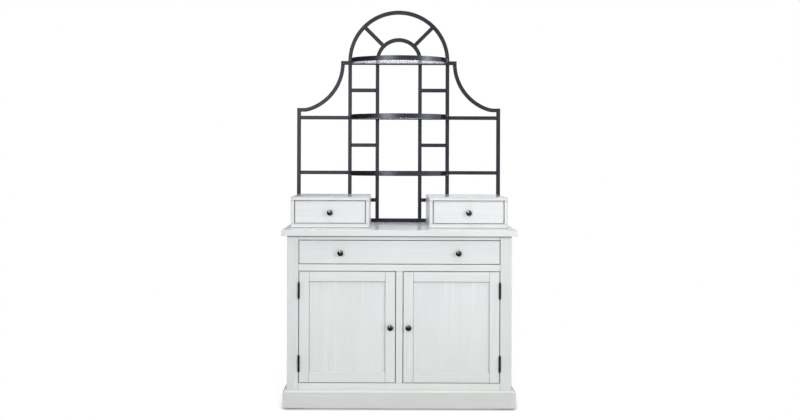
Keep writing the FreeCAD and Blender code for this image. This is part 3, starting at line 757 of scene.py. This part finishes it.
def add_finial(bm, x, y, z, upwards):
    """The button on the end of a hinge pin."""
    profile = [(0, 0), (FINIAL_NECK_RADIUS, 0), (FINIAL_NECK_RADIUS, FINIAL_NECK_HEIGHT)]
    for index in range(FINIAL_ARC_STEPS):
        share = index / FINIAL_ARC_STEPS
        angle = math.radians(FINIAL_ARC_START + (FINIAL_ARC_END - FINIAL_ARC_START) * share)
        profile.append((FINIAL_RADIUS * math.cos(angle), FINIAL_MIDDLE + FINIAL_HALF_HEIGHT * math.sin(angle)))
    profile.append((0, FINIAL_MIDDLE + FINIAL_HALF_HEIGHT))
    turn_profile(bm, profile, Vector((x, y, z)), Vector((0, 0, 1 if upwards else -1)), HINGE_STEPS)


def add_leaf_screws(bm, face_x, side, y, low, high):
    """Countersunk screws down a leaf."""
    profile = [(0, -LEAF_SCREW_SUNK), (LEAF_SCREW_RADIUS, -LEAF_SCREW_SUNK), (LEAF_SCREW_RADIUS, 0),
               (LEAF_SCREW_RADIUS - LEAF_SCREW_EASE, LEAF_SCREW_PROUD), (0, LEAF_SCREW_PROUD)]
    for index in range(LEAF_SCREWS):
        z = low + (high - low) * (index + 0.5) / LEAF_SCREWS
        turn_profile(bm, profile, Vector((face_x, y, z)), Vector((side, 0, 0)), LEAF_SCREW_STEPS)


def knuckle_spans(pin):
    """Where each knuckle begins and ends between the pin's two finials."""
    low = pin[0].z + FINIAL_HEIGHT
    high = pin[1].z - FINIAL_HEIGHT
    length = (high - low - (KNUCKLES - 1) * KNUCKLE_GAP) / KNUCKLES
    return [(low + index * (length + KNUCKLE_GAP), low + index * (length + KNUCKLE_GAP) + length)
            for index in range(KNUCKLES)]


def add_leaf(bm, side, pin, leaf, knuckles):
    """A leaf's plate in the door gap, its screws, and its knuckles round the pin. The fixed leaf has the
    outer knuckles and lies against the post; the other lies against the door."""
    x = (pin[0].x + pin[1].x) / 2
    y = (pin[0].y + pin[1].y) / 2
    inner = min(abs(leaf[0].x), abs(leaf[1].x)) * side
    plate_x = sorted((inner, inner + LEAF_THICK * side))
    fixed = len(knuckles) > 1
    if fixed:
        outer = max(abs(leaf[0].x), abs(leaf[1].x)) * side
        plate_x = sorted((outer, outer - LEAF_THICK * side))
    add_block(bm, Vector((plate_x[0], y + LEAF_BEHIND_PIN, leaf[0].z)),
              Vector((plate_x[1], leaf[1].y, leaf[1].z)), PLATE_ROUNDING, steps=1)
    for low, high in knuckles:
        add_knuckle(bm, x, y, low, high)
    screw_face = plate_x[0] if (side > 0) == fixed else plate_x[1]
    add_leaf_screws(bm, screw_face, -side if fixed else side, (y + KNUCKLE_RADIUS + leaf[1].y) / 2,
                    leaf[0].z, leaf[1].z)


def hinge_parts(node):
    """Each pin with the leaf round it."""
    pins = solids_of("hinge_pins")
    pairs = []
    for leaf in solids_of(node):
        middle = (leaf[0] + leaf[1]) / 2
        pin = min(pins, key=lambda corners: ((corners[0] + corners[1]) / 2 - middle).length)
        pairs.append((pin, leaf))
    return pairs


def make_hinges():
    bm = bmesh.new()
    for pin, leaf in hinge_parts("hinge_leaves_fixed"):
        side = 1 if pin[0].x > 0 else -1
        spans = knuckle_spans(pin)
        add_leaf(bm, side, pin, leaf, spans[::2])
        middle = (pin[0] + pin[1]) / 2
        add_finial(bm, middle.x, middle.y, spans[-1][1], True)
        add_finial(bm, middle.x, middle.y, spans[0][0], False)
    make_piece("hinges_on_posts", bm, "rack", HINGE_BRONZE,
               ["hinge_leaves_fixed", "hinge_pins"])
    for body in ("door_left", "door_right"):
        bm = bmesh.new()
        for pin, leaf in hinge_parts(body + "_hinge_leaves"):
            side = 1 if pin[0].x > 0 else -1
            add_leaf(bm, side, pin, leaf, knuckle_spans(pin)[1::2])
        make_piece(body + "_hinges", bm, body, HINGE_BRONZE, [body + "_hinge_leaves"])


# Hutch


def make_straight_tubes():
    for node in ("hutch_mid_uprights", "hutch_inner_uprights", "hutch_top_rail", "hutch_shelf_rails",
                 "hutch_bottom_rail", "hutch_rungs"):
        bm = bmesh.new()
        for low, high in solids_of(node):
            add_block(bm, low, high, TUBE_ROUNDING, ends_too=False)
        make_piece(node.replace("hutch_", "tube_"), bm, "rack", TUBE_COAT, [node])


def tube_size():
    low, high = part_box("hutch_inner_arch")
    return high.y - low.y


def make_arch(node):
    """A half ring of square tube that springs from the top of two uprights."""
    low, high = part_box(node)
    tube = tube_size()
    bm = bmesh.new()
    ring = rounded_ring(bm, Vector((high.x - tube, low.y, low.z)), Vector((high.x, high.y, low.z)), 2,
                        TUBE_ROUNDING)
    bend_ring(bm, ring, (0, 0, low.z), (0, -1, 0), math.pi, ARCH_STEPS)
    cap_ends(bm)
    make_piece(node.replace("hutch_", "tube_"), bm, "rack", TUBE_COAT, [node])


def make_spokes():
    """Tubes from arch to arch, with their ends let in."""
    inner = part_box("hutch_inner_arch")[1]
    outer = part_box("hutch_outer_arch")[1]
    tube = tube_size()
    arch_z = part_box("hutch_inner_arch")[0].z
    back_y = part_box("hutch_inner_arch")[1].y
    bm = bmesh.new()
    for angle in (SPOKE_ANGLE, math.pi - SPOKE_ANGLE):
        before = set(bm.verts)
        add_block(bm, Vector((inner.x - SPOKE_LET_IN, back_y - tube, -tube / 2)),
                  Vector((outer.x - tube + SPOKE_LET_IN, back_y, tube / 2)), TUBE_ROUNDING, ends_too=False)
        made = [vert for vert in bm.verts if vert not in before]
        bmesh.ops.rotate(bm, cent=(0, 0, 0), matrix=Matrix.Rotation(-angle, 3, "Y"), verts=made)
        bmesh.ops.translate(bm, vec=(0, 0, arch_z), verts=made)
    make_piece("tube_spokes", bm, "rack", TUBE_COAT, ["hutch_spokes"])


def wing_corner():
    """Where the middle lines of a wing's level run and of its outer upright meet."""
    low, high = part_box("hutch_wing_curves")
    return high.x - tube_size() / 2, low.z + tube_size() / 2


def make_wings():
    """The long bend from the top rail, the short one that turns it level, and the mitred end."""
    tube = tube_size()
    corner_x, corner_z = wing_corner()
    rail_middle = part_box("hutch_top_rail")[1].z - tube / 2
    start_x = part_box("hutch_outer_arch")[1].x + WING_START_GAP
    small_x = corner_x - WING_LEVEL_LENGTH
    small_z = corner_z + END_BEND_RADIUS
    across = small_x - start_x
    drop = rail_middle - small_z
    radius = (across ** 2 + drop ** 2 - END_BEND_RADIUS ** 2) / (2 * (across - END_BEND_RADIUS))
    turn = math.asin(drop / (radius - END_BEND_RADIUS))
    begin = math.asin(tube / 2 / radius)
    back_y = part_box("hutch_wing_curves")[1].y
    big_centre = (start_x + radius, 0, rail_middle)
    bm = bmesh.new()
    ring = rounded_ring(bm, Vector((start_x - tube / 2, back_y - tube, rail_middle)),
                        Vector((start_x + tube / 2, back_y, rail_middle)), 2, TUBE_ROUNDING)
    bmesh.ops.rotate(bm, cent=big_centre, matrix=Matrix.Rotation(-begin, 3, "Y"), verts=ring_verts(ring))
    ring = bend_ring(bm, ring, big_centre, (0, -1, 0), turn - begin, WING_STEPS)
    ring = bend_ring(bm, ring, (small_x, 0, small_z), (0, -1, 0), math.pi / 2 - turn, CORNER_STEPS)
    ring = run_ring(bm, ring, (WING_LEVEL_LENGTH, 0, 0))
    for vert in ring_verts(ring):
        vert.co.x = corner_x + (vert.co.z - corner_z)
    cap_ends(bm)
    both_hands(bm)
    make_piece("tube_wings", bm, "rack", TUBE_COAT, ["hutch_wing_curves"])


def make_outer_uprights():
    """Uprights with a mitred top, where the wings end."""
    corner_x, corner_z = wing_corner()
    low, high = solids_of("hutch_outer_uprights")[-1]
    bm = bmesh.new()
    ring = rounded_ring(bm, low, Vector((high.x, high.y, low.z)), 2, TUBE_ROUNDING)
    ring = run_ring(bm, ring, (0, 0, corner_z - low.z))
    for vert in ring_verts(ring):
        vert.co.z = corner_z + (vert.co.x - corner_x)
    cap_ends(bm)
    both_hands(bm)
    make_piece("tube_outer_uprights", bm, "rack", TUBE_COAT, ["hutch_outer_uprights"])


def make_hoop(level):
    """The flat band bowed round a shelf, with the tabs that carry the glass."""
    node = "shelf_hoop_" + level
    solids = solids_of(node)
    low, high = max(solids, key=lambda corners: corners[1].x - corners[0].x)
    back_y = high.y
    half = high.x
    bow_y = low.y + BAND_BOW_RADIUS
    corner_x = half - BAND_CORNER_RADIUS
    centres = BAND_BOW_RADIUS - BAND_CORNER_RADIUS
    corner_y = bow_y - math.sqrt(centres ** 2 - corner_x ** 2)
    lean = math.asin(corner_x / centres)
    up = (0, 0, 1)
    bm = bmesh.new()
    ring = rounded_ring(bm, Vector((half - BAND_THICK, back_y, low.z)), Vector((half, back_y, high.z)), 1,
                        BAND_ROUNDING)
    ring = run_ring(bm, ring, (0, corner_y - back_y, 0))
    ring = bend_ring(bm, ring, (corner_x, corner_y, 0), up, lean - math.pi / 2, CORNER_STEPS)
    ring = bend_ring(bm, ring, (0, bow_y, 0), up, -2 * lean, BOW_STEPS)
    ring = bend_ring(bm, ring, (-corner_x, corner_y, 0), up, lean - math.pi / 2, CORNER_STEPS)
    run_ring(bm, ring, (0, back_y - corner_y, 0))
    cap_ends(bm)
    for corners in solids:
        if corners[1].x - corners[0].x < half:
            add_block(bm, *corners, PLATE_ROUNDING, steps=1)
    make_piece("band_" + level, bm, "rack", BAND_COAT, [node])


def make_glass(level):
    """The shelf's sheet with its rim ground round."""
    node = "shelf_glass_" + level
    bm = solid_copy(faces_by_solid(node)[0])
    low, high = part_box(node)
    round_off(bm, level_edges(bm, low.z) + level_edges(bm, high.z), GLASS_ROUNDING, EASING_STEPS)
    make_piece("sheet_" + level, bm, "rack", GLASS, [node])


def make_screws():
    """Round-headed screws through the bottom rail."""
    rail_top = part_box("hutch_bottom_rail")[1].z
    bm = bmesh.new()
    for low, high in solids_of("hutch_screws"):
        radius = (high.x - low.x) / 2
        shank = radius * RAIL_SCREW_SHANK
        tall = high.z - rail_top
        rim = tall * RAIL_SCREW_RIM
        profile = [(0, -RAIL_SCREW_DEPTH), (shank, -RAIL_SCREW_DEPTH), (shank, 0), (radius, 0)]
        for index in range(RAIL_SCREW_ARC_STEPS):
            angle = math.pi / 2 * index / RAIL_SCREW_ARC_STEPS
            profile.append((radius * math.cos(angle), rim + (tall - rim) * math.sin(angle)))
        profile.append((0, tall))
        origin = Vector(((low.x + high.x) / 2, (low.y + high.y) / 2, rail_top))
        turn_profile(bm, profile, origin, Vector((0, 0, 1)), RAIL_SCREW_STEPS)
    make_piece("rail_screws", bm, "rack", SCREW_STEEL, ["hutch_screws"])


# Studio

CAMERA_PLACE = (-0.052, -3.2705, 1.2166)
CAMERA_LENS = 27.81
CAMERA_SENSOR = 36
CAMERA_SHIFT = (0.0134, -0.0581)
CAMERA_ROLL = math.radians(-0.18)

RACK_MIDDLE = (0, 0, 0.9)
WHITE_LIGHT = (1.0, 1.0, 1.0)
COOL_LIGHT = (0.99, 0.995, 1.0)

# What gloss mirrors: a wall behind the rack with a paler foot, and a room in front of it with dim ends and
# a dim ceiling. The fill lights the rest.
WALL_LEFT = (0.38, 0.39, 0.44, 1)
WALL_RIGHT = (0.76, 0.77, 0.80, 1)
WALL_FOOT = (0.86, 0.87, 0.93, 1)
ROOM_LEFT = (0.06, 0.06, 0.07, 1)
ROOM_MIDDLE = (0.88, 0.89, 0.93, 1)
ROOM_RIGHT = (0.12, 0.12, 0.13, 1)
ROOM_CEILING = (0.10, 0.10, 0.11, 1)
ROOM_FILL = (0.35, 0.35, 0.355, 1)
WHITE = (1, 1, 1, 1)

# Floor: its size, the ring in which it fades to white, the light that it gives off in a corner and in the
# open, dimmed near the rack as a painted contact shadow, and what it throws back at the rack and at its gloss
FLOOR_RADIUS = 2.6
FLOOR_SEGMENTS = 96
FLOOR_FADE = (0.55, 1.5)
FLOOR_GREY = (0.50, 0.50, 0.50, 1)
FLOOR_PAINTED_SHADOW_REACH = 0.06
FLOOR_GLOW = (0.10, 0.66)
FLOOR_BOUNCE = (0.62, 0.62, 0.61, 1)
FLOOR_MIRRORED = (0.22, 0.22, 0.22, 1)


def make_camera():
    camera = bpy.data.cameras.new("camera")
    camera.lens = CAMERA_LENS
    camera.sensor_width = CAMERA_SENSOR
    camera.shift_x, camera.shift_y = CAMERA_SHIFT
    holder = bpy.data.objects.new("camera", camera)
    holder.location = CAMERA_PLACE
    holder.rotation_euler = (math.pi / 2, CAMERA_ROLL, 0)
    bpy.context.scene.collection.objects.link(holder)
    bpy.context.scene.camera = holder


def add_softbox(name, place, aim, size, radiance, colour=WHITE_LIGHT, lights=True, glints=True, only_on=()):
    """A rectangular lamp, width by height, whose face shines with the given radiance. It may only light, or
    only glint, and it may do so on a few pieces alone."""
    lamp = bpy.data.lights.new(name, "AREA")
    lamp.shape = "RECTANGLE"
    lamp.size, lamp.size_y = size
    lamp.energy = radiance * math.pi * size[0] * size[1]
    lamp.color = colour
    holder = bpy.data.objects.new(name, lamp)
    holder.location = place
    holder.rotation_euler = (Vector(aim) - Vector(place)).to_track_quat("-Z", "Y").to_euler()
    holder.visible_camera = False
    holder.visible_diffuse = lights
    holder.visible_glossy = glints
    if only_on:
        chosen = bpy.data.collections.new(name + "_shines_on")
        for piece in only_on:
            chosen.objects.link(piece)
        holder.light_linking.receiver_collection = chosen
    bpy.context.scene.collection.objects.link(holder)


def pieces_in(*finishes):
    """The pieces that wear one of the finishes given."""
    dressed = [piece for piece in bpy.context.scene.objects if piece.type == "MESH" and piece.data.materials]
    return [piece for piece in dressed if piece.data.materials[0] in finishes]


def make_lights():
    """Lamps that light the whole rack from the front and behind, and some that only glint in its metal."""
    metal = pieces_in(TUBE_COAT, BAND_COAT, KNOB_BRONZE, HINGE_BRONZE)
    knobs = pieces_in(KNOB_BRONZE)
    dull = {"glints": False}
    on_metal = {"lights": False, "only_on": metal}
    on_knobs = {"lights": False, "only_on": knobs}
    add_softbox("side_left", (-3.0, -0.75, 1.5), RACK_MIDDLE, (0.9, 2.2), 2.0, **dull)
    add_softbox("front_left", (-0.80, -3.90, 2.2), (0, 0, 1.2), (1.3, 1.8), 4.2, COOL_LIGHT, **dull)
    add_softbox("key_left", (-1.35, -3.50, 1.8), RACK_MIDDLE, (0.60, 0.50), 22.0, **dull)
    add_softbox("front_right", (2.45, -2.85, 1.8), RACK_MIDDLE, (0.5, 2.2), 9.0, **dull)
    add_softbox("key_right", (2.95, -2.10, 1.7), RACK_MIDDLE, (1.5, 2.4), 1.6)
    add_softbox("overhead", (0, -1.0, 4.2), RACK_MIDDLE, (2.4, 1.6), 3.2, COOL_LIGHT)
    add_softbox("behind", (0.4, 3.3, 0.72), (0, 0, 0.7), (2.6, 1.0), 5.0, **dull)
    add_softbox("strip_left", (-1.04, -3.60, 1.9), (-0.1, -0.2, 1.8), (1.1, 1.7), 8.2, **on_metal)
    add_softbox("strip_right", (2.35, -2.82, 2.3), (0.1, -0.2, 1.8), (0.5, 1.0), 15.0, **on_metal)
    add_softbox("spot_left", (-2.90, -6.00, 6.20), (-0.3, -0.2, 0.8), (2.6, 2.2), 80.0, **on_knobs)
    add_softbox("spot_right", (2.70, -6.85, 4.90), (0.3, -0.2, 0.8), (1.4, 1.4), 16.0, **on_knobs)


def make_world():
    """White to the camera and through glass, a plain fill for the rest, and to gloss a pale wall behind the
    rack and a room in front of it that is dim on the left, on the far right and above."""
    world = bpy.data.worlds.new("studio")
    bpy.context.scene.world = world
    world.use_nodes = True
    tree = world.node_tree
    place = add_node(tree, "ShaderNodeTexCoord")
    heading = add_node(tree, "ShaderNodeSeparateXYZ")
    tree.links.new(place.outputs["Generated"], heading.inputs["Vector"])
    x, y, z = (heading.outputs[axis] for axis in "XYZ")
    wall = blend_colours(tree, spread(tree, x, (-0.12, 0.12)), WALL_LEFT, WALL_RIGHT)
    wall = blend_colours(tree, spread(tree, z, (-0.06, 0.0), (0.55, 0.0)), wall, WALL_FOOT)
    room = blend_colours(tree, spread(tree, x, (-0.30, 0.0)), ROOM_LEFT, ROOM_MIDDLE)
    room = blend_colours(tree, spread(tree, x, (0.40, 0.95)), room, ROOM_RIGHT)
    room = blend_colours(tree, spread(tree, z, (0.18, 0.60)), room, ROOM_CEILING)
    mirrored = blend_colours(tree, spread(tree, y, (0.40, 0.85)), room, wall)
    colour = blend_colours(tree, to_gloss(tree), ROOM_FILL, mirrored)
    colour = blend_colours(tree, to_eye(tree), colour, WHITE)
    tree.links.new(colour, tree.nodes["Background"].inputs["Color"])


def floor_white():
    """A white floor whose shadow fades out to plain white away from the rack. Its shadow is the real one on
    its lit part together with a painted contact shadow, a glow dimmed where the rack closes it in.
    """
    material, tree, shader = new_material("white_floor")
    tree.nodes.remove(shader)
    lit = add_node(tree, "ShaderNodeBsdfDiffuse", {"Color": FLOOR_GREY})
    glow = add_node(tree, "ShaderNodeEmission", {"Color": WHITE})
    # dimmer glow in corners beside the rack: a painted contact shadow
    glow_with_painted_shadow = spread(tree, occlusion(tree, FLOOR_PAINTED_SHADOW_REACH), (0.25, 0.85), FLOOR_GLOW)
    tree.links.new(glow_with_painted_shadow, glow.inputs["Strength"])
    shadowed = add_node(tree, "ShaderNodeAddShader")
    feed(tree, shadowed.inputs, (lit.outputs["BSDF"], glow.outputs["Emission"]))
    plain = add_node(tree, "ShaderNodeEmission", {"Color": WHITE, "Strength": 1.0})
    place = add_node(tree, "ShaderNodeTexCoord")
    reach = add_node(tree, "ShaderNodeVectorMath", operation="LENGTH")
    tree.links.new(place.outputs["Object"], reach.inputs[0])
    seen = blend_shaders(tree, spread(tree, reach.outputs["Value"], FLOOR_FADE), shadowed.outputs["Shader"],
                         plain.outputs["Emission"])
    unseen = add_node(tree, "ShaderNodeBsdfDiffuse")
    tree.links.new(blend_colours(tree, to_gloss(tree), FLOOR_BOUNCE, FLOOR_MIRRORED), unseen.inputs["Color"])
    whole = blend_shaders(tree, to_eye(tree), unseen.outputs["BSDF"], seen)
    tree.links.new(whole, tree.nodes["Material Output"].inputs["Surface"])
    return material


def make_floor():
    """A round white sweep under the rack."""
    bm = bmesh.new()
    bmesh.ops.create_circle(bm, cap_ends=True, radius=FLOOR_RADIUS, segments=FLOOR_SEGMENTS)
    mesh = bpy.data.meshes.new("floor")
    bm.to_mesh(mesh)
    bm.free()
    mesh.materials.append(floor_white())
    floor = bpy.data.objects.new("floor", mesh)
    bpy.context.scene.collection.objects.link(floor)


finish_nodes()
for board in EASED_BOARDS:
    make_eased_boards(*board)
make_worktop()
make_knobs()
make_hinges()
make_straight_tubes()
make_arch("hutch_outer_arch")
make_arch("hutch_inner_arch")
make_spokes()
make_wings()
make_outer_uprights()
for shelf in ("top", "middle", "bottom"):
    make_hoop(shelf)
    make_glass(shelf)
make_screws()
make_floor()
make_world()
make_lights()
make_camera()

bpy.context.scene.view_settings.view_transform = "Standard"
